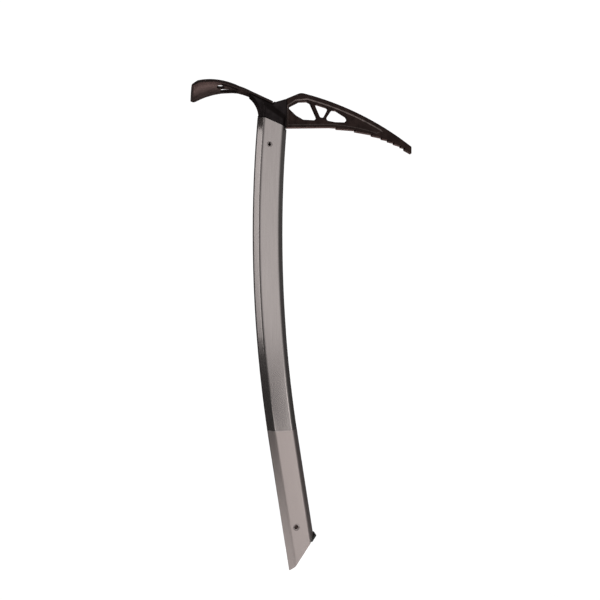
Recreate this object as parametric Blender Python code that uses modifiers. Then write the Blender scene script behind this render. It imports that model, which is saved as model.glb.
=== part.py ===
"""Ice axe for light mountaineering.

A bent, flat-sided aluminium tube carries a steel pick and a formed adze on a forged collar.
The pick's tang runs down through the collar into the tube, where two cheeks pack it and a
spring pin holds it. The tube's lower end is cut off obliquely into a spike and closed by a
plug with a second spring pin.

Frame: the origin is the centre of the clip-in eye in the pick. +X points towards the pick's
tip, +Y across the axe and +Z up, so the axe is symmetric about the plane Y = 0.
Lengths are in metres and angles in radians.
"""

import math

import bmesh
import bpy
from mathutils import Matrix, Vector

MM = 0.001

# Shaft: a tube whose section is a six-sided shape with round corners.
SHAFT_WIDTH = 30.9 * MM
SHAFT_THICKNESS = 17.0 * MM
SHAFT_FLAT = 15.6 * MM
SHAFT_CORNER = 4.0 * MM
SHAFT_WALL = 1.4 * MM
SEAT_X = -31.6 * MM
SEAT_Z = -17.0 * MM
SEAT_SLOPE = math.radians(18.3)
UPPER_LEAN = math.radians(4.5)
UPPER_LENGTH = 6.0 * MM
BEND_RADIUS = 1345.0 * MM
BEND_ANGLE = math.radians(13.5)
LOWER_LENGTH = 135.5 * MM
SPIKE_ANGLE = math.radians(45.0)

# Pick: a plate with a thick rim, a thinner web with three windows, and a toothed lower edge.
PICK_THICKNESS = 5.0 * MM
WEB_THICKNESS = 3.4 * MM
RIM_HEIGHT = 5.6 * MM
LOWER_RIM_HEIGHT = 3.2 * MM
PICK_ROOT_X = -16.7 * MM
PICK_ROOT_TOP = 10.6 * MM
PICK_ROOT_BOTTOM = -19.1 * MM
HUMP = (-1.5 * MM, 18.5 * MM)
HUMP_RADIUS = 14.0 * MM
CREST_X = 5.5 * MM
PICK_TOP_RADIUS = 308.0 * MM
PICK_TIP_X = 124.8 * MM
PICK_TIP_TOP = -26.0 * MM
PICK_TIP_BOTTOM = -31.3 * MM
PICK_BELLY = (30.0 * MM, -13.8 * MM)
PICK_BELLY_RADIUS = 203.0 * MM
POCKET_ROOT = (-15.0 * MM, 3.6 * MM)
POCKET_SHOULDER = (-7.0 * MM, 9.5 * MM)
POCKET_END_X = 89.0 * MM
TOOTH_DEPTH = 1.3 * MM
TIP_TOOTH_DEPTH = 2.0 * MM
TOOTH_PITCHES = [pitch * MM for pitch in (8.2, 4.6, 8.0, 7.0, 7.5, 11.6, 19.3, 21.0)]

# The pick's windows: clip-in eye, upside-down triangle and long wedge, about the eye's centre.
EYE = [(x * MM, z * MM) for x, z in (
    (-15.4, 1.8), (-3.4, 9.1), (5.0, 10.3), (8.6, 9.0),
    (15.6, -5.4), (13.2, -8.4), (1.0, -9.0), (-6.6, -5.5))]
TRIANGLE = [(x * MM, z * MM) for x, z in (
    (13.0, 9.0), (28.6, 6.0), (22.9, -4.7), (19.5, -4.7))]
WEDGE = [(x * MM, z * MM) for x, z in (
    (32.3, 4.5), (37.0, 4.5), (48.0, -0.9), (49.8, -3.6),
    (46.6, -7.1), (36.1, -7.9), (27.2, -7.2), (26.3, -4.7))]
WINDOW_CORNER = 2.0 * MM

# The pick's tang, packed inside the shaft by two cheeks.
TANG_CLEARANCE = 2.4 * MM
TANG_LENGTH = 50.0 * MM
TONGUE_TOP = 1.0 * MM
TONGUE_BACK_X = -41.0 * MM
TONGUE_RISE = 5.0 * MM
CHEEK_START = 8.0 * MM

# Collar: it continues the shaft's section upwards and narrows into a beam above its crease.
COLLAR_FRONT_X = -17.0 * MM
COLLAR_FRONT_TOP = 9.6 * MM
SADDLE = (-29.0 * MM, 4.8 * MM)
GUSSET_TIP = (-55.0 * MM, 8.7 * MM)
GUSSET_RADIUS = 22.0 * MM
GUSSET_FOOT_RISE = 3.0 * MM
CREASE_SLOPE = math.radians(29.5)
CREASE_X = -32.9 * MM
CREASE_Z = -7.4 * MM
BEAM_WIDTH = 9.6 * MM
BEAM_TAPER = math.radians(28.0)
SKIRT_INSET = 0.15 * MM

# Adze: a plate bent to one radius across its length, with a strap that lies on the collar.
ADZE_THICKNESS = 2.8 * MM
ADZE_DISH = 4.0 * MM
ADZE_RADIUS = 68.0 * MM
ADZE_CROWN = (-76.0 * MM, 15.0 * MM)
ADZE_EDGE_X = -112.6 * MM
ADZE_EDGE_WIDTH = 36.0 * MM
ADZE_EDGE_THICKNESS = 1.0 * MM
ADZE_GRIND_LENGTH = 3.0 * MM
ADZE_SHOULDER_X = -107.4 * MM
ADZE_WIDTH = 42.0 * MM
ADZE_THROAT_X = -66.0 * MM
ADZE_THROAT_WIDTH = 12.0 * MM
ADZE_BEND_END_X = -54.0 * MM
STRAP_END_X = -31.5 * MM
STRAP_END_THICKNESS = 3.0 * MM
ADZE_HOLE_X = -84.2 * MM
ADZE_HOLE_RADIUS = 3.4 * MM
ADZE_SLOT_BACK_X = -83.4 * MM
ADZE_SLOT_FRONT_X = -67.6 * MM
ADZE_RIB_BACK_WIDTH = 9.4 * MM
ADZE_RIB_FRONT_WIDTH = 2.2 * MM
ADZE_SLOT_MARGIN = 2.6 * MM

# Spring pins: one below the seat and one above the spike, both set off towards the adze.
HEAD_PIN_DOWN = 23.8 * MM
SPIKE_PIN_RISE = 45.4 * MM
PIN_OFFSET = 2.5 * MM
HEAD_PIN_RADIUS = 2.4 * MM
SPIKE_PIN_RADIUS = 3.0 * MM
PIN_WALL = 0.8 * MM
PIN_SLIT = 0.9 * MM
PIN_RECESS = 0.3 * MM

# Plug in the oblique lower end.
PLUG_LENGTH = 58.4 * MM
PLUG_RECESS = 1.6 * MM
LIP_LENGTH = 7.5 * MM
LIP_DEPTH = 3.2 * MM
LIP_PROUD = 1.0 * MM
LIP_WIDTH = 9.0 * MM
LIP_BEVEL = 1.0 * MM

# Gaps and mesh fineness.
GAP = 0.3 * MM
CORNER_STEPS = 6
ARC_STEPS = 18
FILLET_STEPS = 5
FILLET_SHARE = 0.48
BEVEL_STEPS = 2
CIRCLE_SIDES = 24
ADZE_CELL = 2.5 * MM
SHARP_ANGLE = math.radians(30.0)
WELD_DISTANCE = 0.01 * MM

# Helpers reach this far past what they cut.
REACH = 90.0 * MM

SHAFT_BEND_LENGTH = BEND_RADIUS * BEND_ANGLE
SHAFT_LENGTH = UPPER_LENGTH + SHAFT_BEND_LENGTH + LOWER_LENGTH
SPIKE_PIN_DOWN = SHAFT_LENGTH - SPIKE_PIN_RISE
PLUG_TOP_DOWN = SHAFT_LENGTH - PLUG_LENGTH


def clear_scene():
    """Remove whatever the file opened with."""
    for existing in list(bpy.data.objects):
        bpy.data.objects.remove(existing, do_unlink=True)


def make_collection(name):
    collection = bpy.data.collections.new(name)
    bpy.context.scene.collection.children.link(collection)
    return collection


clear_scene()
PARTS = make_collection("ice_axe")
CUTTERS = make_collection("cutters")


# Outlines -----------------------------------------------------------------------------------

def arc_centre(start, end, radius):
    """Centre of the arc from start to end that bulges to the left of the way it goes."""
    a = Vector(start)
    b = Vector(end)
    chord = b - a
    left = Vector((-chord.y, chord.x)).normalized()
    return (a + b) / 2 - left * math.sqrt(radius ** 2 - (chord.length / 2) ** 2)


def arc_between(start, end, radius):
    """Points on the arc from start to end that bulges to the left of the way it goes."""
    centre = arc_centre(start, end, radius)
    first = math.atan2(start[1] - centre.y, start[0] - centre.x)
    turn = -2 * math.asin(math.dist(start, end) / 2 / radius)
    angles = [first + turn * step / ARC_STEPS for step in range(ARC_STEPS + 1)]
    return [(centre.x + radius * math.cos(t), centre.y + radius * math.sin(t)) for t in angles]


def arc_height(start, end, radius, x):
    """Height at x of the arc that arc_between draws from start to end, going towards +X."""
    centre = arc_centre(start, end, radius)
    return centre.y + math.sqrt(radius ** 2 - (x - centre.x) ** 2)


def fillet(before, corner, after, radius):
    """Points that round one corner, with a radius that the two sides have room for."""
    here = Vector(corner)
    back = Vector(before) - here
    ahead = Vector(after) - here
    half = back.angle(ahead) / 2
    room = FILLET_SHARE * min(back.length, ahead.length)
    reach = min(radius / math.tan(half), room)
    start = here + back.normalized() * reach
    end = here + ahead.normalized() * reach
    points = []
    for step in range(FILLET_STEPS + 1):
        t = step / FILLET_STEPS
        points.append(tuple((1 - t) ** 2 * start + 2 * t * (1 - t) * here + t ** 2 * end))
    return points


def rounded(corners, radius):
    """A closed outline with every corner rounded."""
    outline = []
    for index, corner in enumerate(corners):
        before = corners[index - 1]
        after = corners[(index + 1) % len(corners)]
        outline += fillet(before, corner, after, radius)
    return outline


def section_core():
    """Reach of the section's core to its nose and its side, and the facets' tilt."""
    nose = SHAFT_WIDTH / 2 - SHAFT_CORNER
    side = SHAFT_THICKNESS / 2 - SHAFT_CORNER
    return nose, side, math.atan2(nose - SHAFT_FLAT / 2, side)


def tang_half_width():
    """Half of the tang's width: how far the tube has room for its thickness, less a clearance."""
    nose, side, tilt = section_core()
    radius = SHAFT_CORNER - SHAFT_WALL
    room = nose + (radius - PICK_THICKNESS / 2 * math.sin(tilt)) / math.cos(tilt)
    return room - TANG_CLEARANCE


def shaft_section(inset):
    """The shaft's outer section moved inwards by inset: a six-sided core with round corners."""
    radius = SHAFT_CORNER - inset
    flat = SHAFT_FLAT / 2
    nose, side, tilt = section_core()
    core = [(nose, 0), (flat, side), (-flat, side), (-nose, 0), (-flat, -side), (flat, -side)]
    normals = [tilt, math.pi / 2, math.pi - tilt, math.pi + tilt, 1.5 * math.pi, -tilt]
    outline = []
    for index, (x, y) in enumerate(core):
        first = normals[index - 1]
        turn = (normals[index] - first) % (2 * math.pi)
        for step in range(CORNER_STEPS + 1):
            angle = first + turn * step / CORNER_STEPS
            outline.append((x + radius * math.cos(angle), y + radius * math.sin(angle)))
    return outline


# The shaft's centreline ---------------------------------------------------------------------

def shaft_frame(down):
    """Frame on the centreline at a distance below the seat: Z up the shaft, X to the pick."""
    bend = min(max((down - UPPER_LENGTH) / BEND_RADIUS, 0), BEND_ANGLE)
    top_turn = Matrix.Rotation(UPPER_LEAN, 4, "Y")
    turn = Matrix.Rotation(UPPER_LEAN - bend, 4, "Y")
    place = Vector((SEAT_X, 0, SEAT_Z))
    place += top_turn @ Vector((0, 0, -min(down, UPPER_LENGTH)))
    place += top_turn @ Vector((BEND_RADIUS, 0, 0)) - turn @ Vector((BEND_RADIUS, 0, 0))
    place += turn @ Vector((0, 0, -max(down - UPPER_LENGTH - SHAFT_BEND_LENGTH, 0)))
    return Matrix.Translation(place) @ turn


def stations(first, last):
    """Distances down the shaft between two places, closer together round the bend."""
    bend_start = UPPER_LENGTH
    bend_end = UPPER_LENGTH + SHAFT_BEND_LENGTH
    bend = [bend_start + SHAFT_BEND_LENGTH * step / ARC_STEPS for step in range(ARC_STEPS + 1)]
    inner = [down for down in bend if first < down < last and bend_start <= down <= bend_end]
    return [first] + inner + [last]


def seat_frame():
    """Frame on the slanted joint between shaft and collar, Z square to the joint."""
    place = Matrix.Translation((SEAT_X, 0, SEAT_Z))
    return place @ Matrix.Rotation(SEAT_SLOPE, 4, "Y")


def spike_frame():
    """Frame at the spike's tip, X up along the oblique cut and Z into the shaft."""
    tip = shaft_frame(SHAFT_LENGTH) @ Matrix.Translation((-SHAFT_WIDTH / 2, 0, 0))
    return tip @ Matrix.Rotation(SPIKE_ANGLE - math.pi / 2, 4, "Y")


# Building blocks ----------------------------------------------------------------------------

def mesh_object(name, bm, collection):
    """Close off a bmesh into a named object with its faces pointing out."""
    bmesh.ops.recalc_face_normals(bm, faces=bm.faces)
    mesh = bpy.data.meshes.new(name)
    bm.to_mesh(mesh)
    bm.free()
    item = bpy.data.objects.new(name, mesh)
    collection.objects.link(item)
    return item


def block(name, low, high, frame, collection=None):
    """A box between two corners of a frame."""
    bm = bmesh.new()
    size = Vector(high) - Vector(low)
    middle = (Vector(high) + Vector(low)) / 2
    place = Matrix.Translation(middle) @ Matrix.Diagonal((*size, 1))
    bmesh.ops.create_cube(bm, size=1, matrix=place)
    item = mesh_object(name, bm, collection or CUTTERS)
    item.matrix_world = frame
    return item


def cylinder(name, radius, half_length, frame, collection=None):
    """A cylinder along the Y axis of a frame."""
    bm = bmesh.new()
    along_y = Matrix.Rotation(math.pi / 2, 4, "X")
    bmesh.ops.create_cone(bm, cap_ends=True, segments=CIRCLE_SIDES, radius1=radius,
                          radius2=radius, depth=2 * half_length, matrix=along_y)
    item = mesh_object(name, bm, collection or CUTTERS)
    item.matrix_world = frame
    return item


def plate(name, outlines, half_thickness, frame, collection=None):
    """A flat plate from closed outlines in a frame's XY plane; inner outlines are holes."""
    curve = bpy.data.curves.new(name, "CURVE")
    curve.dimensions = "2D"
    curve.fill_mode = "BOTH"
    curve.extrude = half_thickness
    for outline in outlines:
        spline = curve.splines.new("POLY")
        spline.points.add(len(outline) - 1)
        for point, (x, y) in zip(spline.points, outline):
            point.co = (x, y, 0, 1)
        spline.use_cyclic_u = True
    drawn = bpy.data.objects.new(name + "_outline", curve)
    CUTTERS.objects.link(drawn)
    drawn.matrix_world = frame
    bpy.context.view_layer.update()
    evaluated = drawn.evaluated_get(bpy.context.evaluated_depsgraph_get())
    bm = bmesh.new()
    bm.from_mesh(bpy.data.meshes.new_from_object(evaluated))
    bmesh.ops.remove_doubles(bm, verts=bm.verts, dist=WELD_DISTANCE)
    item = mesh_object(name, bm, collection or CUTTERS)
    item.matrix_world = drawn.matrix_world
    bpy.data.objects.remove(drawn, do_unlink=True)
    return item


def swept(name, inset, first, last, capped, collection=None):
    """The shaft's section, moved inwards by inset, extruded down the centreline."""
    bm = bmesh.new()
    start = shaft_frame(first)
    ring = [bm.verts.new(start @ Vector((x, y, 0))) for x, y in shaft_section(inset)]
    edges = [bm.edges.new(pair) for pair in zip(ring, ring[1:] + ring[:1])]
    places = stations(first, last)
    for here, there in zip(places, places[1:]):
        extruded = bmesh.ops.extrude_edge_only(bm, edges=edges)["geom"]
        step = shaft_frame(there) @ shaft_frame(here).inverted()
        moved = [part for part in extruded if isinstance(part, bmesh.types.BMVert)]
        bmesh.ops.transform(bm, matrix=step, verts=moved)
        edges = [part for part in extruded if isinstance(part, bmesh.types.BMEdge)]
    if capped:
        rims = [edge for edge in bm.edges if edge.is_boundary]
        bmesh.ops.holes_fill(bm, edges=rims)
    return mesh_object(name, bm, collection or CUTTERS)


def boolean(target, cutter, operation="DIFFERENCE"):
    """Cut, join or intersect a part with a hidden helper."""
    cutter.hide_render = True
    cutter.display_type = "WIRE"
    modifier = target.modifiers.new(cutter.name, "BOOLEAN")
    modifier.operation = operation
    modifier.object = cutter


def shade_smooth(item):
    item.data.shade_smooth()
    item.data.set_sharp_from_angle(angle=SHARP_ANGLE)


def paint(item, name, colour, roughness, metallic):
    """Give a part its own Principled material."""
    material = bpy.data.materials.new(name)
    material.use_nodes = True
    shader = material.node_tree.nodes["Principled BSDF"]
    shader.inputs["Base Color"].default_value = (*colour, 1)
    shader.inputs["Roughness"].default_value = roughness
    shader.inputs["Metallic"].default_value = metallic
    material.diffuse_color = (*colour, 1)
    item.data.materials.append(material)


UPRIGHT = Matrix.Rotation(math.pi / 2, 4, "X")
LEVEL = Matrix.Identity(4)


def pin_frame(down):
    """Frame of a spring pin's middle, set off the centreline towards the adze."""
    return shaft_frame(down) @ Matrix.Translation((-PIN_OFFSET, 0, 0))


def drill_for_pin(item, pin_name, down, radius):
    """Cut a pin's hole, with its clearance, through a part."""
    hole = cylinder(item.name + "_" + pin_name + "_hole", radius + GAP, REACH, pin_frame(down))
    boolean(item, hole)


# Shaft --------------------------------------------------------------------------------------

def make_shaft():
    shaft = swept("shaft", 0, -REACH / 2, SHAFT_LENGTH + REACH / 2, False, PARTS)
    wall = shaft.modifiers.new("wall", "SOLIDIFY")
    wall.thickness = SHAFT_WALL
    wall.offset = -1
    wall.use_even_offset = True
    above = block("shaft_top_cut", (-REACH, -REACH, 0), (REACH, REACH, REACH), seat_frame())
    boolean(shaft, above)
    below = block("shaft_spike_cut", (-REACH, -REACH, -REACH), (REACH, REACH, 0), spike_frame())
    boolean(shaft, below)
    drill_for_pin(shaft, "head_pin", HEAD_PIN_DOWN, HEAD_PIN_RADIUS)
    drill_for_pin(shaft, "spike_pin", SPIKE_PIN_DOWN, SPIKE_PIN_RADIUS)
    shade_smooth(shaft)
    paint(shaft, "shaft_anodised", (0.36, 0.33, 0.32), 0.38, 0.9)


# Pick ---------------------------------------------------------------------------------------

def pick_top_edge(drop, start_x, end_x):
    """The pick's arched upper edge between two places, lowered by drop."""
    left = HUMP
    right = (PICK_TIP_X, PICK_TIP_TOP)
    edge = []
    for step in range(ARC_STEPS + 1):
        x = start_x + (end_x - start_x) * step / ARC_STEPS
        edge.append((x, arc_height(left, right, PICK_TOP_RADIUS, x) - drop))
    return edge


def pick_lower_height(x):
    """Height of the pick's lower edge at x, without its teeth."""
    if x < PICK_BELLY[0]:
        run = (x - PICK_ROOT_X) / (PICK_BELLY[0] - PICK_ROOT_X)
        return PICK_ROOT_BOTTOM + (PICK_BELLY[1] - PICK_ROOT_BOTTOM) * run
    tip = (PICK_TIP_X, PICK_TIP_BOTTOM)
    return arc_height(PICK_BELLY, tip, PICK_BELLY_RADIUS, x)


def pick_teeth():
    """The toothed lower edge from the tip back to the belly; each tooth hooks backwards."""
    edge = [(PICK_TIP_X, PICK_TIP_BOTTOM - TIP_TOOTH_DEPTH)]
    x = PICK_TIP_X
    depth = TIP_TOOTH_DEPTH
    for pitch in TOOTH_PITCHES:
        x -= pitch
        root = pick_lower_height(x)
        edge.append((x, root - depth))
        edge.append((x, root))
        depth = TOOTH_DEPTH
    return edge


def tang_outline():
    """The pick's end inside the collar and the shaft, from the lower root round to the top."""
    half = tang_half_width()
    corners = []
    for down, side in ((0, half), (TANG_LENGTH, half), (TANG_LENGTH, -half)):
        point = shaft_frame(down) @ Vector((side, 0, 0))
        corners.append((point.x, point.z))
    corners.append((TONGUE_BACK_X, SEAT_Z + TONGUE_RISE))
    corners.append((TONGUE_BACK_X, TONGUE_TOP))
    corners.append((PICK_ROOT_X - GAP, TONGUE_TOP))
    return corners


def pick_outline():
    root_top = (PICK_ROOT_X, PICK_ROOT_TOP)
    crest = pick_top_edge(0, CREST_X, PICK_TIP_X)
    outline = [(PICK_ROOT_X, TONGUE_TOP), root_top]
    outline += fillet(root_top, HUMP, crest[0], HUMP_RADIUS)
    outline += crest[1:]
    outline += pick_teeth()
    outline += [PICK_BELLY, (PICK_ROOT_X, PICK_ROOT_BOTTOM)]
    outline += [(PICK_ROOT_X - GAP, PICK_ROOT_BOTTOM + GAP)]
    outline += tang_outline()
    return outline


def window_outlines():
    return [rounded(window, WINDOW_CORNER) for window in (EYE, TRIANGLE, WEDGE)]


def pocket_outline():
    """The thinner web's outline between the upper rim, the lower rim and the solid tip."""
    top = pick_top_edge(RIM_HEIGHT, CREST_X, POCKET_END_X)
    floor = []
    for step in range(1, ARC_STEPS + 1):
        x = POCKET_END_X + (POCKET_ROOT[0] - POCKET_END_X) * step / ARC_STEPS
        floor.append((x, pick_lower_height(x) + LOWER_RIM_HEIGHT))
    return [POCKET_ROOT, POCKET_SHOULDER] + top + floor


def make_pick():
    pick = plate("pick", [pick_outline()] + window_outlines(), PICK_THICKNESS / 2, UPRIGHT, PARTS)
    depth = (PICK_THICKNESS - WEB_THICKNESS) / 2
    for side, name in ((-1, "left"), (1, "right")):
        away = side * (WEB_THICKNESS / 2 + depth)
        frame = Matrix.Translation((0, away, 0)) @ UPRIGHT
        boolean(pick, plate("pick_pocket_" + name, [pocket_outline()], depth, frame))
    drill_for_pin(pick, "head_pin", HEAD_PIN_DOWN, HEAD_PIN_RADIUS)
    paint(pick, "pick_steel", (0.035, 0.030, 0.029), 0.42, 0.6)


# Collar -------------------------------------------------------------------------------------

def strap_angle():
    """Slope of the adze's straight strap, square to the bend's radius where the bend ends."""
    return math.asin((ADZE_BEND_END_X - ADZE_CROWN[0]) / ADZE_RADIUS)


def adze_middle(x):
    """Height of the adze's middle surface at x: an arc, then a straight strap."""
    centre_z = ADZE_CROWN[1] - ADZE_RADIUS
    bent = min(x, ADZE_BEND_END_X) - ADZE_CROWN[0]
    height = centre_z + math.sqrt(ADZE_RADIUS ** 2 - bent ** 2)
    return height - max(x - ADZE_BEND_END_X, 0) * math.tan(strap_angle())


def adze_half_height(x):
    """Half of the adze's upright thickness at x, growing along the strap."""
    run = max(x - ADZE_BEND_END_X, 0) / (STRAP_END_X - ADZE_BEND_END_X)
    return (ADZE_THICKNESS + (STRAP_END_THICKNESS - ADZE_THICKNESS) * run) / 2


def collar_upper_edge():
    """Side view of the collar from the gusset's foot over the strap's bed to the front."""
    foot = seat_frame() @ Vector((-SHAFT_WIDTH / 2, 0, GUSSET_FOOT_RISE))
    outline = arc_between(GUSSET_TIP, (foot.x, foot.z), GUSSET_RADIUS)[::-1]
    bed_end_x = STRAP_END_X + GAP + SKIRT_INSET
    for x in (GUSSET_TIP[0], ADZE_BEND_END_X, bed_end_x):
        outline.append((x, adze_middle(x) - adze_half_height(x) - GAP))
    outline.append((bed_end_x, SADDLE[1] + GAP))
    outline += [SADDLE, (COLLAR_FRONT_X, COLLAR_FRONT_TOP)]
    return outline


def beam_outline():
    """The beam, down to a line that runs along the seat from the gusset's foot."""
    front_run = (COLLAR_FRONT_X - SEAT_X) / math.cos(SEAT_SLOPE)
    front = seat_frame() @ Vector((front_run, 0, GUSSET_FOOT_RISE))
    return collar_upper_edge() + [(COLLAR_FRONT_X, front.z)]


def skirt_outline():
    """The skirt, which runs on past the seat until it is cut off there."""
    upper = collar_upper_edge()
    back_x = upper[0][0] - SHAFT_WIDTH
    below_z = SEAT_Z - REACH / 2
    return [(back_x, below_z), (back_x, upper[0][1])] + upper + [(COLLAR_FRONT_X, below_z)]


def make_skirt():
    """The collar's lower part, which narrows above the crease until it is inside the beam."""
    skirt = swept("collar_skirt", 0, -REACH / 2, REACH / 4, True)
    inside_beam = Matrix.Translation((-SKIRT_INSET, 0, -SKIRT_INSET)) @ UPRIGHT
    boolean(skirt, plate("collar_side", [skirt_outline()], REACH, inside_beam), "INTERSECT")
    crease = Matrix.Translation((CREASE_X, 0, CREASE_Z)) @ Matrix.Rotation(CREASE_SLOPE, 4, "Y")
    for side, name in ((-1, "left"), (1, "right")):
        lean = Matrix.Rotation(side * BEAM_TAPER, 4, "X")
        edge = Matrix.Translation((0, side * SHAFT_THICKNESS / 2, 0))
        low = (-REACH, min(0, side * REACH), 0)
        high = (REACH, max(0, side * REACH), REACH)
        boolean(skirt, block("collar_taper_" + name, low, high, crease @ edge @ lean))
    return skirt


def make_collar():
    collar = plate("collar", [beam_outline()], BEAM_WIDTH / 2, UPRIGHT, PARTS)
    boolean(collar, make_skirt(), "UNION")
    seat = seat_frame() @ Matrix.Translation((0, 0, GAP))
    boolean(collar, block("collar_seat_cut", (-REACH, -REACH, -REACH), (REACH, REACH, 0), seat))
    slot_half = PICK_THICKNESS / 2 + GAP
    low = (TONGUE_BACK_X - GAP, -slot_half, -REACH)
    high = (REACH, slot_half, TONGUE_TOP + GAP)
    boolean(collar, block("collar_slot", low, high, LEVEL))
    shade_smooth(collar)
    paint(collar, "head_black", (0.030, 0.027, 0.027), 0.45, 0.5)


# Adze ---------------------------------------------------------------------------------------

def adze_side():
    """One side of the adze's plan: cutting edge, shoulder, throat and the straight strap."""
    return [
        (ADZE_EDGE_X, ADZE_EDGE_WIDTH / 2),
        (ADZE_SHOULDER_X, ADZE_WIDTH / 2),
        (ADZE_THROAT_X, ADZE_THROAT_WIDTH / 2),
        (ADZE_BEND_END_X, BEAM_WIDTH / 2),
        (STRAP_END_X, BEAM_WIDTH / 2),
    ]


def adze_half_width(x):
    side = adze_side()
    for (start, start_half), (end, end_half) in zip(side, side[1:]):
        if x <= end:
            break
    run = (x - start) / (end - start)
    return start_half + (end_half - start_half) * run


def adze_dish(x, y):
    """How far the dished blade stands above its side edges; the dish fades to the throat."""
    run = (ADZE_THROAT_X - x) / (ADZE_THROAT_X - ADZE_SHOULDER_X)
    across = y / adze_half_width(x)
    return ADZE_DISH * min(max(run, 0), 1) * (1 - across ** 2)


def adze_grind(x):
    """How far the underside is ground away towards the cutting edge."""
    run = max(ADZE_EDGE_X + ADZE_GRIND_LENGTH - x, 0) / ADZE_GRIND_LENGTH
    return (ADZE_THICKNESS - ADZE_EDGE_THICKNESS) * run


def adze_hole():
    turns = [2 * math.pi * step / CIRCLE_SIDES for step in range(CIRCLE_SIDES)]
    return [(ADZE_HOLE_X + ADZE_HOLE_RADIUS * math.cos(turn), ADZE_HOLE_RADIUS * math.sin(turn))
            for turn in turns]


def adze_slot(side):
    """One slot between the middle rib and the adze's side edge."""
    inner_back = side * ADZE_RIB_BACK_WIDTH / 2
    inner_front = side * ADZE_RIB_FRONT_WIDTH / 2
    back = side * (adze_half_width(ADZE_SLOT_BACK_X) - ADZE_SLOT_MARGIN)
    front = side * (adze_half_width(ADZE_SLOT_FRONT_X) - ADZE_SLOT_MARGIN)
    corners = [(ADZE_SLOT_BACK_X, inner_back), (ADZE_SLOT_FRONT_X, inner_front),
               (ADZE_SLOT_FRONT_X, front), (ADZE_SLOT_BACK_X, back)]
    return rounded(corners, WINDOW_CORNER)


def strip_places(first, last):
    """Places between two others, about a cell apart."""
    count = math.ceil((last - first) / ADZE_CELL)
    return [first + (last - first) * step / count for step in range(1, count)]


def divide(bm, axis, places):
    """Cut a mesh into strips across one axis, so that it can follow a curved surface."""
    normal = Vector((0, 0, 0))
    normal[axis] = 1
    for place in places:
        parts = bm.verts[:] + bm.edges[:] + bm.faces[:]
        bmesh.ops.bisect_plane(bm, geom=parts, plane_co=normal * place, plane_no=normal)


def form_adze(adze):
    """Bend the flat plate to the adze's arc, dish it and grind its cutting edge."""
    bm = bmesh.new()
    bm.from_mesh(adze.data)
    grind_start = ADZE_EDGE_X + ADZE_GRIND_LENGTH
    divide(bm, 0, [grind_start] + strip_places(grind_start, STRAP_END_X))
    divide(bm, 1, strip_places(-ADZE_WIDTH / 2, ADZE_WIDTH / 2))
    bmesh.ops.triangulate(bm, faces=bm.faces)
    for vert in bm.verts:
        x, y, z = vert.co
        surface = adze_middle(x) + adze_dish(x, y)
        if z > 0:
            vert.co.z = surface + adze_half_height(x)
        else:
            vert.co.z = surface - adze_half_height(x) + adze_grind(x)
    bm.to_mesh(adze.data)
    bm.free()


def make_adze():
    side = adze_side()
    plan = side + [(x, -y) for x, y in reversed(side)]
    outlines = [plan, adze_hole(), adze_slot(-1), adze_slot(1)]
    adze = plate("adze", outlines, ADZE_THICKNESS / 2, LEVEL, PARTS)
    form_adze(adze)
    shade_smooth(adze)
    paint(adze, "adze_black", (0.045, 0.039, 0.038), 0.40, 0.6)


# Inside the shaft ---------------------------------------------------------------------------

def make_cheek(side, name):
    """Packing between the pick's tang and one side wall of the shaft."""
    cheek = swept(name, SHAFT_WALL + GAP, CHEEK_START, TANG_LENGTH, True, PARTS)
    inner = side * (PICK_THICKNESS / 2 + GAP)
    low = (-REACH, min(inner, -side * REACH), -REACH)
    high = (REACH, max(inner, -side * REACH), REACH)
    boolean(cheek, block(name + "_inner_cut", low, high, shaft_frame(CHEEK_START)))
    drill_for_pin(cheek, "head_pin", HEAD_PIN_DOWN, HEAD_PIN_RADIUS)
    paint(cheek, name + "_nylon", (0.05, 0.05, 0.05), 0.6, 0.0)


def make_pin(name, down, radius):
    """A slotted spring pin right across the shaft."""
    half_length = SHAFT_THICKNESS / 2 - PIN_RECESS
    frame = pin_frame(down)
    pin = cylinder(name, radius, half_length, frame, PARTS)
    boolean(pin, cylinder(name + "_bore", radius - PIN_WALL, REACH, frame))
    low = (-PIN_SLIT / 2, -REACH, 0)
    high = (PIN_SLIT / 2, REACH, 2 * radius)
    boolean(pin, block(name + "_slit", low, high, frame))
    shade_smooth(pin)
    paint(pin, name + "_steel", (0.12, 0.11, 0.11), 0.35, 0.9)


def make_plug():
    """Oblique end plug with a lip that stands proud of the shaft on the pick's side."""
    plug = swept("end_plug", SHAFT_WALL + GAP, PLUG_TOP_DOWN, SHAFT_LENGTH + REACH / 2, True, PARTS)
    cut_length = SHAFT_WIDTH / math.sin(SPIKE_ANGLE)
    heel = cut_length - LIP_LENGTH
    low = (-REACH, -REACH, -REACH)
    boolean(plug, block("plug_end_cut", low, (heel, REACH, PLUG_RECESS), spike_frame()))
    boolean(plug, block("plug_heel_cut", low, (REACH, REACH, -LIP_DEPTH / 2), spike_frame()))
    low = (heel - GAP, -LIP_WIDTH / 2, -LIP_DEPTH)
    high = (cut_length + LIP_PROUD, LIP_WIDTH / 2, -GAP)
    lip = block("plug_lip", low, high, spike_frame())
    edges = lip.modifiers.new("edges", "BEVEL")
    edges.width = LIP_BEVEL
    edges.segments = BEVEL_STEPS
    boolean(plug, lip, "UNION")
    drill_for_pin(plug, "spike_pin", SPIKE_PIN_DOWN, SPIKE_PIN_RADIUS)
    paint(plug, "plug_rubber", (0.012, 0.011, 0.011), 0.6, 0.0)


def make_all():
    make_shaft()
    make_pick()
    make_collar()
    make_adze()
    make_cheek(-1, "tang_cheek_left")
    make_cheek(1, "tang_cheek_right")
    make_pin("head_pin", HEAD_PIN_DOWN, HEAD_PIN_RADIUS)
    make_pin("spike_pin", SPIKE_PIN_DOWN, SPIKE_PIN_RADIUS)
    make_plug()


make_all()
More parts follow.
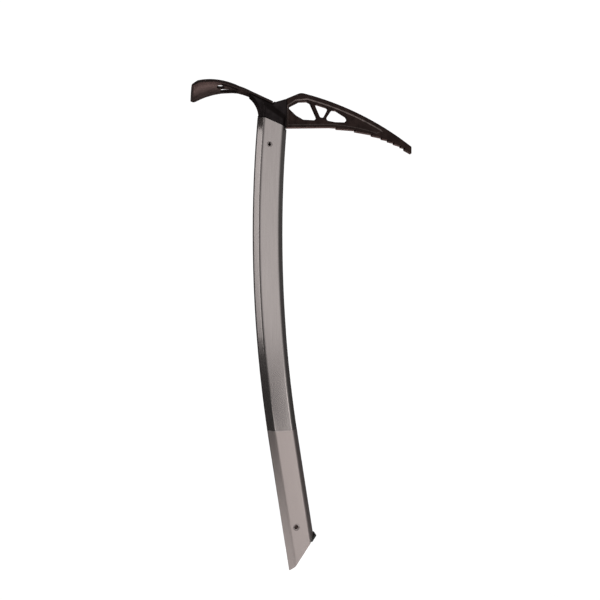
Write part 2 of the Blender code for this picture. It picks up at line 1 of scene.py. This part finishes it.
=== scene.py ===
"""Looks of the ice axe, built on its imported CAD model.

Lengths are in metres, in the model's own frame: the origin is the centre of the clip-in eye,
+X points to the pick's tip, +Y across the axe and +Z up. Nothing on the axe moves, so every
piece rides on the one body, "root".
"""

import math

import bmesh
import bpy
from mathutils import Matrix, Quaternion, Vector


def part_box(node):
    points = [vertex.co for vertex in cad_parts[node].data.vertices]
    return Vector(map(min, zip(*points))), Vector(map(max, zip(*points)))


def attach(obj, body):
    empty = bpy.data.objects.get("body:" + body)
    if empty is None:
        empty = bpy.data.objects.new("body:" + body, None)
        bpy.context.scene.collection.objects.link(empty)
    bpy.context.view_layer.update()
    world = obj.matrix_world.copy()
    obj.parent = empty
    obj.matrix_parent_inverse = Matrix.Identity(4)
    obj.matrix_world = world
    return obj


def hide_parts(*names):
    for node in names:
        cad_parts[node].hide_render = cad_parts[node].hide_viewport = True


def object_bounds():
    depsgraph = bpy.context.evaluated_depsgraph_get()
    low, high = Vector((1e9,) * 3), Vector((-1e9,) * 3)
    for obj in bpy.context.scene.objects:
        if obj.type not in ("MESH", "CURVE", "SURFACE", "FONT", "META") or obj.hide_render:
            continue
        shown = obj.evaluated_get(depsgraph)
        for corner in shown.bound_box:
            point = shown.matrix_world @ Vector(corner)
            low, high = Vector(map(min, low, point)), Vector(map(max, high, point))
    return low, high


MM = 0.001

# Camera: level, a little towards the adze's side of the axe.
VIEW_AZIMUTH = math.radians(-15.0)
VIEW_DISTANCE = 504.0 * MM
VIEW_TARGET = Vector((-2.0 * MM, 0.0, -217.0 * MM))
VIEW_LENS = 29.1
VIEW_SENSOR = 36.0
VIEW_SHIFT = 0.0333

# The pick's plates: a thick rim, and a thin web that a sloping ledge leads down to.
RIM_ROUNDING = 0.6 * MM
WEB_ROUNDING = 0.4 * MM
ROUNDING_STEPS = 4
WEB_HALF_THICKNESS = 1.7 * MM
LEDGE_WIDTH = 1.0 * MM
PLANE_TOLERANCE = 0.05 * MM
MERGE_DISTANCE = PLANE_TOLERANCE / 10

# Wear of the forged pieces: the size of what is kept, and how often it is smoothed.
ADZE_VOXEL = 0.35 * MM
COLLAR_VOXEL = 0.35 * MM
PIN_VOXEL = 0.15 * MM
ADZE_WEAR = 8
COLLAR_WEAR = 40
PIN_WEAR = 2
WEAR_STRENGTH = 0.5
SHARP_ANGLE = math.radians(35.0)

# Colours: each surface is mottled between a dark and a light one.
PICK_BLACK = ((0.013, 0.0080, 0.0072), (0.030, 0.0190, 0.0165))
# The pick's slope down to its web gets a lighter colour: a painted highlight along the rim's lower ledge.
PICK_LEDGE_HIGHLIGHT = ((0.11, 0.088, 0.080), (0.19, 0.152, 0.142))
ADZE_BLACK = ((0.014, 0.0100, 0.0095), (0.032, 0.0230, 0.0215))
COLLAR_BLACK = ((0.010, 0.008, 0.0085), (0.022, 0.018, 0.0185))
PIN_GREY = ((0.26, 0.23, 0.22), (0.42, 0.37, 0.355))
DRAWN_GREY = ((0.31, 0.277, 0.268), (0.34, 0.305, 0.295))
BLASTED_GREY = ((0.33, 0.285, 0.272), (0.41, 0.352, 0.336))
PLUG_BLACK = ((0.006, 0.005, 0.005), (0.012, 0.010, 0.010))
CHEEK_BLACK = ((0.030, 0.030, 0.030), (0.045, 0.045, 0.045))
FLOOR_WHITE = ((0.90, 0.90, 0.90), (0.93, 0.93, 0.93))

# Steel: its reflections at a low angle are a warm brown, and its grain changes its roughness.
STEEL_TINT = (1.0, 0.80, 0.77, 1.0)
STEEL_MOTTLE = 6.0 * MM
STEEL_GRAIN = 0.35 * MM
SMOOTHER_BY = 0.08
ROUGHER_BY = 0.1
PICK_ROUGHNESS = 0.42
# Roughness of the pick's slope, whose lighter colour is a painted highlight.
LEDGE_HIGHLIGHT_ROUGHNESS = 0.40
ADZE_ROUGHNESS = 0.38
COLLAR_ROUGHNESS = 0.42
PIN_ROUGHNESS = 0.30

# Shaft: smooth with fine drawn lines, and below a level line blasted to a rough grip.
GRIP_TOP_Z = -329.0 * MM
GRIP_EDGE = 0.3 * MM
DRAWN_LINES = 0.8 * MM
DRAWN_STRETCH = (1, 1, 0.03)
SHAFT_GRAIN = 0.45 * MM
DRAWN_ROUGHNESS = 0.17
BLASTED_ROUGHNESS = 0.40
DRAWN_RELIEF = 0.06

# All metals, and the height of every grain but the floor's.
METALLIC = 0.9
GRAIN_DEPTH = 0.03 * MM

# Plastics and the floor.
PLASTIC_GRAIN = 0.5 * MM
PLASTIC_SMOOTHEST = 0.52
PLASTIC_ROUGHEST = 0.68
FLOOR_GRAIN = 2.0 * MM
FLOOR_ROUGHNESS = 0.8
FLOOR_GLOW = 0.7

# Stage. A direction's height is its Z, from -1 straight down to 1 straight up.
FLOOR_DROP = 350.0 * MM
FLOOR_RADIUS = 0.8
FLOOR_SIDES = 96
BACKDROP_LIGHT = 1.05
ROOM_LIGHT_BELOW = 0.02
ROOM_LIGHT_ABOVE = 0.16
ROOM_BOTTOM = -0.3
ROOM_TOP = 0.5
WINDOW_AZIMUTH = math.radians(12.0)
WINDOW_FALLOFF = 3.0
WINDOW_LIGHT = 1.2
WINDOW_BOTTOM = -0.17
WINDOW_FULL = -0.04

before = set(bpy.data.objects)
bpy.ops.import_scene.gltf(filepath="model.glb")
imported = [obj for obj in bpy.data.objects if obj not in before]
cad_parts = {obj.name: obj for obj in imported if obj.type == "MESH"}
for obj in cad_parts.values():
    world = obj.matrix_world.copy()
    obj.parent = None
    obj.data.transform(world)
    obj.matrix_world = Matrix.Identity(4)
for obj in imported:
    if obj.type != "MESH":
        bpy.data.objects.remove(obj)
size_at_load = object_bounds()


# Node materials -----------------------------------------------------------------------------

def new_material(name):
    """A material with its node tree and its Principled shader."""
    material = bpy.data.materials.new(name)
    material.use_nodes = True
    tree = material.node_tree
    return material, tree, tree.nodes["Principled BSDF"]


def coordinates(tree, kind):
    """The place or direction that a shader works at."""
    return tree.nodes.new("ShaderNodeTexCoord").outputs[kind]


def height_of(tree, vector):
    """The Z of a place or direction."""
    axes = tree.nodes.new("ShaderNodeSeparateXYZ")
    tree.links.new(vector, axes.inputs["Vector"])
    return axes.outputs["Z"]


def noise(tree, size, detail=3.0, stretch=(1, 1, 1)):
    """Noise in the axe's own coordinates, with features of about the given size."""
    mapping = tree.nodes.new("ShaderNodeMapping")
    mapping.inputs["Scale"].default_value = stretch
    texture = tree.nodes.new("ShaderNodeTexNoise")
    texture.inputs["Scale"].default_value = 1 / size
    texture.inputs["Detail"].default_value = detail
    tree.links.new(coordinates(tree, "Object"), mapping.inputs["Vector"])
    tree.links.new(mapping.outputs["Vector"], texture.inputs["Vector"])
    return texture.outputs["Fac"]


def spread(tree, factor, low, high, start=0.3, end=0.7):
    """A number that goes from low to high as the factor goes from start to end."""
    ranged = tree.nodes.new("ShaderNodeMapRange")
    ranged.inputs["From Min"].default_value = start
    ranged.inputs["From Max"].default_value = end
    ranged.inputs["To Min"].default_value = low
    ranged.inputs["To Max"].default_value = high
    tree.links.new(factor, ranged.inputs["Value"])
    return ranged.outputs["Result"]


def combine(tree, operation, first, second):
    """The sum, product or power of a number in the tree and another one or a fixed value."""
    maths = tree.nodes.new("ShaderNodeMath")
    maths.operation = operation
    tree.links.new(first, maths.inputs[0])
    if isinstance(second, float):
        maths.inputs[1].default_value = second
    else:
        tree.links.new(second, maths.inputs[1])
    return maths.outputs["Value"]


def colour_mix(tree, factor):
    """A node that goes from its colour A to its colour B as the factor goes from 0 to 1."""
    mix = tree.nodes.new("ShaderNodeMix")
    mix.data_type = "RGBA"
    tree.links.new(factor, mix.inputs["Factor"])
    return mix


def mottled(tree, pattern, colours):
    """A colour between a dark and a light one, by a noise pattern."""
    dark, light = colours
    mix = colour_mix(tree, spread(tree, pattern, 0, 1))
    mix.inputs["A"].default_value = (*dark, 1)
    mix.inputs["B"].default_value = (*light, 1)
    return mix.outputs["Result"]


def switch_colours(tree, factor, first, second):
    """One colour pattern where the factor is 0 and another where it is 1."""
    mix = colour_mix(tree, factor)
    tree.links.new(first, mix.inputs["A"])
    tree.links.new(second, mix.inputs["B"])
    return mix.outputs["Result"]


def roughen(tree, shader, grain):
    """Raise the shader's surface by its grain."""
    bump = tree.nodes.new("ShaderNodeBump")
    bump.inputs["Strength"].default_value = 1
    bump.inputs["Distance"].default_value = GRAIN_DEPTH
    tree.links.new(grain, bump.inputs["Height"])
    tree.links.new(bump.outputs["Normal"], shader.inputs["Normal"])
    return bump


def mottled_steel(name, colours, roughness):
    """Steel, coated or bare: mottled, with a fine cast grain."""
    material, tree, shader = new_material(name)
    mottle = noise(tree, STEEL_MOTTLE, detail=5.0)
    grain = noise(tree, STEEL_GRAIN, detail=2.0)
    tree.links.new(mottled(tree, mottle, colours), shader.inputs["Base Color"])
    roughnesses = spread(tree, grain, roughness - SMOOTHER_BY, roughness + ROUGHER_BY)
    tree.links.new(roughnesses, shader.inputs["Roughness"])
    shader.inputs["Metallic"].default_value = METALLIC
    shader.inputs["Specular Tint"].default_value = STEEL_TINT
    roughen(tree, shader, grain)
    return material


def anodised_aluminium():
    """Warm grey anodising, drawn lengthways, with a paler blasted grip at the lower end."""
    material, tree, shader = new_material("shaft_anodised")
    height = height_of(tree, coordinates(tree, "Object"))
    grip = spread(tree, height, 1, 0, GRIP_TOP_Z - GRIP_EDGE, GRIP_TOP_Z)
    lines = noise(tree, DRAWN_LINES, stretch=DRAWN_STRETCH)
    grain = noise(tree, SHAFT_GRAIN, detail=2.0)
    drawn = mottled(tree, lines, DRAWN_GREY)
    blasted = mottled(tree, grain, BLASTED_GREY)
    tree.links.new(switch_colours(tree, grip, drawn, blasted), shader.inputs["Base Color"])
    roughness = spread(tree, grip, DRAWN_ROUGHNESS, BLASTED_ROUGHNESS, 0, 1)
    tree.links.new(roughness, shader.inputs["Roughness"])
    shader.inputs["Metallic"].default_value = METALLIC
    bump = roughen(tree, shader, grain)
    tree.links.new(spread(tree, grip, DRAWN_RELIEF, 1, 0, 1), bump.inputs["Strength"])
    return material


def moulded_plastic(name, colours):
    """Rubber or nylon with the fine grain of its mould."""
    material, tree, shader = new_material(name)
    grain = noise(tree, PLASTIC_GRAIN)
    tree.links.new(mottled(tree, grain, colours), shader.inputs["Base Color"])
    roughness = spread(tree, grain, PLASTIC_SMOOTHEST, PLASTIC_ROUGHEST)
    tree.links.new(roughness, shader.inputs["Roughness"])
    roughen(tree, shader, grain)
    return material


def pale_paint():
    """White paint that glows a little, so that the floor stays pale."""
    material, tree, shader = new_material("pale_floor")
    grain = noise(tree, FLOOR_GRAIN)
    tree.links.new(mottled(tree, grain, FLOOR_WHITE), shader.inputs["Base Color"])
    shader.inputs["Roughness"].default_value = FLOOR_ROUGHNESS
    shader.inputs["Emission Color"].default_value = (1, 1, 1, 1)
    shader.inputs["Emission Strength"].default_value = FLOOR_GLOW
    return material


# Shapes -------------------------------------------------------------------------------------

def flat_outlines(node, y):
    """The closed outlines of a CAD node's flat surface at one Y, in XZ, the widest first."""
    bm = bmesh.new()
    bm.from_mesh(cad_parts[node].data)
    bmesh.ops.remove_doubles(bm, verts=bm.verts, dist=MERGE_DISTANCE)
    flat = set()
    for face in bm.faces:
        if all(abs(corner.co.y - y) < PLANE_TOLERANCE for corner in face.verts):
            flat.add(face)
    rims = {edge for edge in bm.edges if len(flat.intersection(edge.link_faces)) == 1}
    outlines = []
    while rims:
        edge = rims.pop()
        outline = [edge.verts[0]]
        corner = edge.verts[1]
        while corner is not outline[0]:
            outline.append(corner)
            following = [other for other in corner.link_edges if other in rims]
            edge = following[0]
            rims.discard(edge)
            corner = edge.other_vert(corner)
        outlines.append([(vert.co.x, vert.co.z) for vert in outline])
    bm.free()
    outlines.sort(key=lambda outline: max(x for x, z in outline) - min(x for x, z in outline))
    return outlines[::-1]


def shape_of(item):
    """Mesh of a curve, or of an object with its modifiers. The object itself is deleted."""
    bpy.context.scene.collection.objects.link(item)
    bpy.context.view_layer.update()
    evaluated = item.evaluated_get(bpy.context.evaluated_depsgraph_get())
    mesh = bpy.data.meshes.new_from_object(evaluated)
    mesh.transform(item.matrix_world)
    bpy.data.objects.remove(item)
    return mesh


def rounded_plate(name, outlines, half_thickness, rounding):
    """Mesh of a plate in the XZ plane, centred on Y = 0, with its edges rounded."""
    curve = bpy.data.curves.new(name, "CURVE")
    curve.dimensions = "2D"
    curve.fill_mode = "BOTH"
    curve.extrude = half_thickness - rounding
    curve.bevel_depth = rounding
    curve.bevel_resolution = ROUNDING_STEPS
    curve.offset = -rounding
    for outline in outlines:
        spline = curve.splines.new("POLY")
        spline.points.add(len(outline) - 1)
        for point, (x, z) in zip(spline.points, outline):
            point.co = (x, z, 0, 1)
        spline.use_cyclic_u = True
    drawn = bpy.data.objects.new(name, curve)
    drawn.rotation_euler = (math.pi / 2, 0, 0)
    return shape_of(drawn)


def forged(node, voxel, passes):
    """Mesh of a CAD node with its edges worn round, as forging and coating leave them."""
    wear_and_highlight = bpy.data.objects.new(node + "_worn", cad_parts[node].data.copy())
    remesh = wear_and_highlight.modifiers.new("remesh", "REMESH")
    remesh.mode = "VOXEL"
    remesh.voxel_size = voxel
    smooth = wear_and_highlight.modifiers.new("smooth", "SMOOTH")
    smooth.factor = WEAR_STRENGTH
    smooth.iterations = passes
    return shape_of(wear_and_highlight)


def grown(outline, distance):
    """A closed outline moved outwards by a distance, square to its own sides."""
    sides = zip(outline, outline[1:] + outline[:1])
    turning = math.copysign(1, sum(a[0] * b[1] - b[0] * a[1] for a, b in sides))
    moved = []
    for index, (x, z) in enumerate(outline):
        before = Vector(outline[index - 1])
        after = Vector(outline[(index + 1) % len(outline)])
        along = (after - before).normalized() * turning * distance
        moved.append((x + along.y, z - along.x))
    return moved


def pocket_slope(outer, inner, outer_y, inner_y):
    """Mesh of the sloping wall from a rim's flat sides down to the web, in the second material, which is
    coloured lighter as a painted highlight.
    """
    bm = bmesh.new()
    for side in (-1, 1):
        top = [bm.verts.new((x, side * outer_y, z)) for x, z in outer]
        foot = [bm.verts.new((x, side * inner_y, z)) for x, z in inner]
        for corners in zip(top, top[1:] + top[:1], foot[1:] + foot[:1], foot):
            face = bm.faces.new(corners)
            # The slope takes the lighter second material, a painted highlight.
            face.material_index = 1
            face.normal_update()
            if face.normal.y * side < 0:
                face.normal_flip()
    mesh = bpy.data.meshes.new("pocket_slope")
    bm.to_mesh(mesh)
    bm.free()
    return mesh


def piece(name, meshes, materials, node):
    """One visible piece made of meshes, standing for a CAD node."""
    bm = bmesh.new()
    for mesh in meshes:
        bm.from_mesh(mesh)
    mesh = bpy.data.meshes.new(name)
    bm.to_mesh(mesh)
    bm.free()
    for material in materials:
        mesh.materials.append(material)
    mesh.shade_smooth()
    mesh.set_sharp_from_angle(angle=SHARP_ANGLE)
    item = bpy.data.objects.new(name, mesh)
    bpy.context.scene.collection.objects.link(item)
    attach(item, "root")
    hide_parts(node)
    return item


def refinish(node, material):
    """Give a CAD node that keeps its shape a better material."""
    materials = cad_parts[node].data.materials
    materials.clear()
    materials.append(material)


# The axe ------------------------------------------------------------------------------------

def make_pick():
    """The rim round the pocket, the web with its openings, and the slope between them, coloured lighter as a
    painted highlight.
    """
    low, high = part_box("pick")
    edge, pocket = flat_outlines("pick", low.y)[:2]
    openings = flat_outlines("pick", -WEB_HALF_THICKNESS)[1:]
    rim = rounded_plate("pick_rim", [edge, grown(pocket, LEDGE_WIDTH)], high.y, RIM_ROUNDING)
    slope_top = grown(pocket, LEDGE_WIDTH + RIM_ROUNDING)
    slope = pocket_slope(slope_top, pocket, high.y, WEB_HALF_THICKNESS)
    web = rounded_plate("pick_web", [edge] + openings, WEB_HALF_THICKNESS, WEB_ROUNDING)
    steel = mottled_steel("pick_steel", PICK_BLACK, PICK_ROUGHNESS)
    # The slope's lighter steel is a painted highlight along the rim's lower ledge; the ledge_card lamp
    # lights it too.
    wear_and_highlight = mottled_steel("pick_ledge_highlight_steel", PICK_LEDGE_HIGHLIGHT, LEDGE_HIGHLIGHT_ROUGHNESS)
    piece("pick_forged", [rim, web, slope], [steel, wear_and_highlight], "pick")


def make_adze():
    steel = mottled_steel("adze_steel", ADZE_BLACK, ADZE_ROUGHNESS)
    shape = forged("adze", ADZE_VOXEL, ADZE_WEAR)
    piece("adze_formed", [shape], [steel], "adze")


def make_collar():
    steel = mottled_steel("collar_steel", COLLAR_BLACK, COLLAR_ROUGHNESS)
    shape = forged("collar", COLLAR_VOXEL, COLLAR_WEAR)
    piece("collar_forged", [shape], [steel], "collar")


def make_pins():
    steel = mottled_steel("pin_steel", PIN_GREY, PIN_ROUGHNESS)
    for node in ("head_pin", "spike_pin"):
        shape = forged(node, PIN_VOXEL, PIN_WEAR)
        piece(node + "_rolled", [shape], [steel], node)


def make_cheeks():
    nylon = moulded_plastic("cheek_nylon", CHEEK_BLACK)
    for node in ("tang_cheek_left", "tang_cheek_right"):
        refinish(node, nylon)


def make_axe():
    make_pick()
    make_adze()
    make_collar()
    refinish("shaft", anodised_aluminium())
    refinish("end_plug", moulded_plastic("plug_rubber", PLUG_BLACK))
    make_pins()
    make_cheeks()


# Stage --------------------------------------------------------------------------------------

def make_floor():
    """A wide pale floor, well below the spike."""
    bm = bmesh.new()
    bmesh.ops.create_circle(bm, cap_ends=True, segments=FLOOR_SIDES, radius=FLOOR_RADIUS)
    mesh = bpy.data.meshes.new("floor")
    bm.to_mesh(mesh)
    bm.free()
    mesh.materials.append(pale_paint())
    floor = bpy.data.objects.new("floor", mesh)
    bpy.context.scene.collection.objects.link(floor)
    floor.location.z = size_at_load[0].z - FLOOR_DROP


def level(azimuth):
    """The level direction at an azimuth: 0 is straight out from the shaft's nearer flat side."""
    return Vector((math.sin(azimuth), -math.cos(azimuth), 0))


def aim(item, roll=0.0):
    """Turn a camera or a light to face the axe, rolled about its line of sight."""
    facing = (VIEW_TARGET - item.location).to_track_quat("-Z", "Y")
    item.rotation_euler = (facing @ Quaternion((0, 0, 1), roll)).to_euler()


def area_light(name, azimuth, height, distance, size, power, roll=0.0):
    """A soft rectangular light round the shaft, with its azimuth and roll in degrees."""
    lamp = bpy.data.lights.new(name, "AREA")
    lamp.shape = "RECTANGLE"
    lamp.size = size[0]
    lamp.size_y = size[1]
    lamp.energy = power
    light = bpy.data.objects.new(name, lamp)
    away = level(math.radians(azimuth)) * distance
    light.location = VIEW_TARGET + away + Vector((0, 0, height))
    aim(light, math.radians(roll))
    light.visible_camera = False
    bpy.context.scene.collection.objects.link(light)


def window_light(tree, direction, height):
    """The light from a soft window in front of the axe, above the level where it ends."""
    facing = tree.nodes.new("ShaderNodeVectorMath")
    facing.operation = "DOT_PRODUCT"
    facing.inputs[1].default_value = level(WINDOW_AZIMUTH)
    tree.links.new(direction, facing.inputs[0])
    toward_window = spread(tree, facing.outputs["Value"], 0, 1, 0, 1)
    narrowed = combine(tree, "POWER", toward_window, WINDOW_FALLOFF)
    risen = spread(tree, height, 0, WINDOW_LIGHT, WINDOW_BOTTOM, WINDOW_FULL)
    return combine(tree, "MULTIPLY", narrowed, risen)


def make_world():
    """White behind the axe, and a room that lights it: dark below, grey above, with a window."""
    world = bpy.data.worlds.new("studio")
    bpy.context.scene.world = world
    world.use_nodes = True
    tree = world.node_tree
    direction = coordinates(tree, "Generated")
    height = height_of(tree, direction)
    room = spread(tree, height, ROOM_LIGHT_BELOW, ROOM_LIGHT_ABOVE, ROOM_BOTTOM, ROOM_TOP)
    room = combine(tree, "ADD", room, window_light(tree, direction, height))
    rays = tree.nodes.new("ShaderNodeLightPath")
    strength = tree.nodes.new("ShaderNodeMix")
    strength.inputs["B"].default_value = BACKDROP_LIGHT
    tree.links.new(rays.outputs["Is Camera Ray"], strength.inputs["Factor"])
    tree.links.new(room, strength.inputs["A"])
    background = tree.nodes["Background"]
    background.inputs["Color"].default_value = (1, 1, 1, 1)
    tree.links.new(strength.outputs["Result"], background.inputs["Strength"])


def make_camera():
    data = bpy.data.cameras.new("camera")
    data.lens = VIEW_LENS
    data.sensor_width = VIEW_SENSOR
    data.shift_y = VIEW_SHIFT
    camera = bpy.data.objects.new("camera", data)
    camera.location = VIEW_TARGET + level(VIEW_AZIMUTH) * VIEW_DISTANCE
    aim(camera)
    bpy.context.scene.collection.objects.link(camera)
    bpy.context.scene.camera = camera


def make_stage():
    """The floor, the room, four soft lights with heights from the view's middle, and the camera."""
    make_floor()
    make_world()
    area_light("front_softbox", azimuth=25.5, height=-0.70, distance=1.6, size=(0.6, 1.0), power=4.2, roll=8)
    area_light("left_strip", azimuth=-82, height=0.40, distance=1.0, size=(0.42, 1.27), power=2.6)
    area_light("underside_card", azimuth=164, height=-0.29, distance=1.2, size=(0.6, 0.55), power=2.2)
    area_light("ledge_card", azimuth=-2, height=-0.55, distance=1.6, size=(0.7, 0.2), power=0.8)
    make_camera()
    bpy.context.scene.view_settings.view_transform = "Standard"


make_axe()
make_stage()
